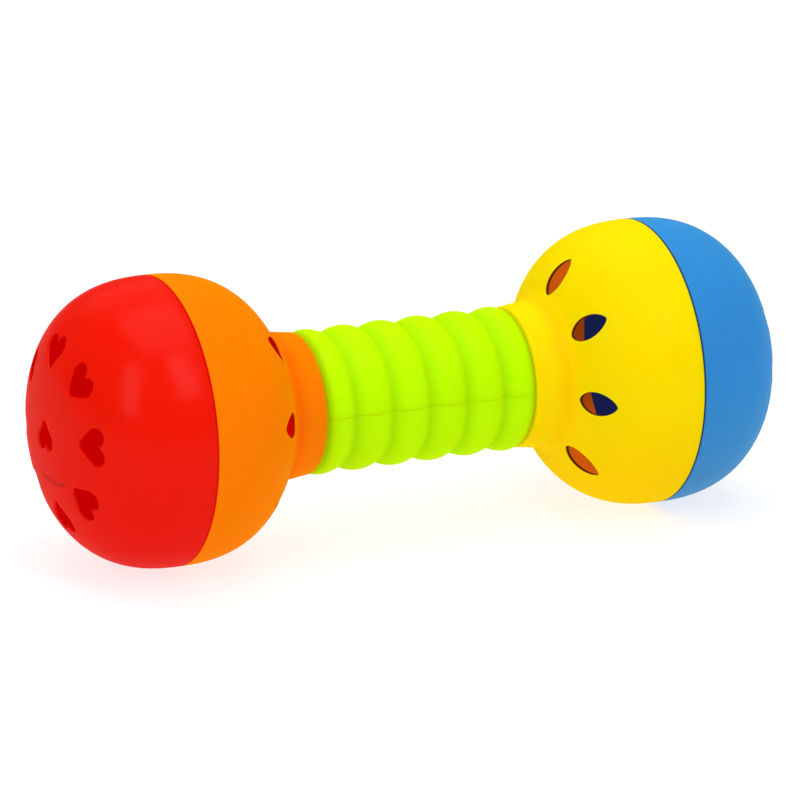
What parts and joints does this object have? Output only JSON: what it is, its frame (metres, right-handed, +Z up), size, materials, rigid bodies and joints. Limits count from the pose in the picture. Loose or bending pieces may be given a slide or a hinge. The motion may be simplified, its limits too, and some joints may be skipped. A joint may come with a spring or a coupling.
{
  "type": "baby rattle",
  "caption": "Dumbbell-shaped baby rattle: two round pierced heads with loose balls inside, joined by a ringed two-part grip handle.",
  "frame": {"origin": "middle of the handle on the long axis, which is the middle of the whole rattle", "axes": "+X along the rattle from the red and orange head to the yellow and blue head, +Z up, handle seam in the XY plane"},
  "size_m": [0.1658, 0.0618, 0.0618],
  "materials": {
    "red_plastic": "satin moulded",
    "orange_plastic": "satin moulded",
    "yellow_plastic": "satin moulded",
    "blue_plastic": "satin moulded",
    "green_plastic": "satin moulded"
  },
  "bodies": {
    "rattle": {"red_cap": "red_plastic", "orange_shell": "orange_plastic", "yellow_shell": "yellow_plastic", "blue_cap": "blue_plastic", "handle_upper_half": "green_plastic", "handle_lower_half": "green_plastic"},
    "red_ball_inner": {"red_ball_1": "red_plastic"},
    "red_ball_outer": {"red_ball_2": "red_plastic"},
    "yellow_ball_inner": {"yellow_ball_1": "yellow_plastic"},
    "yellow_ball_outer": {"yellow_ball_2": "yellow_plastic"}
  },
  "joints": [
    {"name": "red_ball_inner_roll", "type": "hinge", "parent": "rattle", "child": "red_ball_inner", "pos_m": [-0.04695, 0, 0], "axis": [1, 0, 0], "continuous": true},
    {"name": "red_ball_outer_roll", "type": "hinge", "parent": "rattle", "child": "red_ball_outer", "pos_m": [-0.06645, 0, 0], "axis": [1, 0, 0], "continuous": true},
    {"name": "yellow_ball_inner_roll", "type": "hinge", "parent": "rattle", "child": "yellow_ball_inner", "pos_m": [0.04695, 0, 0], "axis": [1, 0, 0], "continuous": true},
    {"name": "yellow_ball_outer_roll", "type": "hinge", "parent": "rattle", "child": "yellow_ball_outer", "pos_m": [0.06645, 0, 0], "axis": [1, 0, 0], "continuous": true}
  ]
}
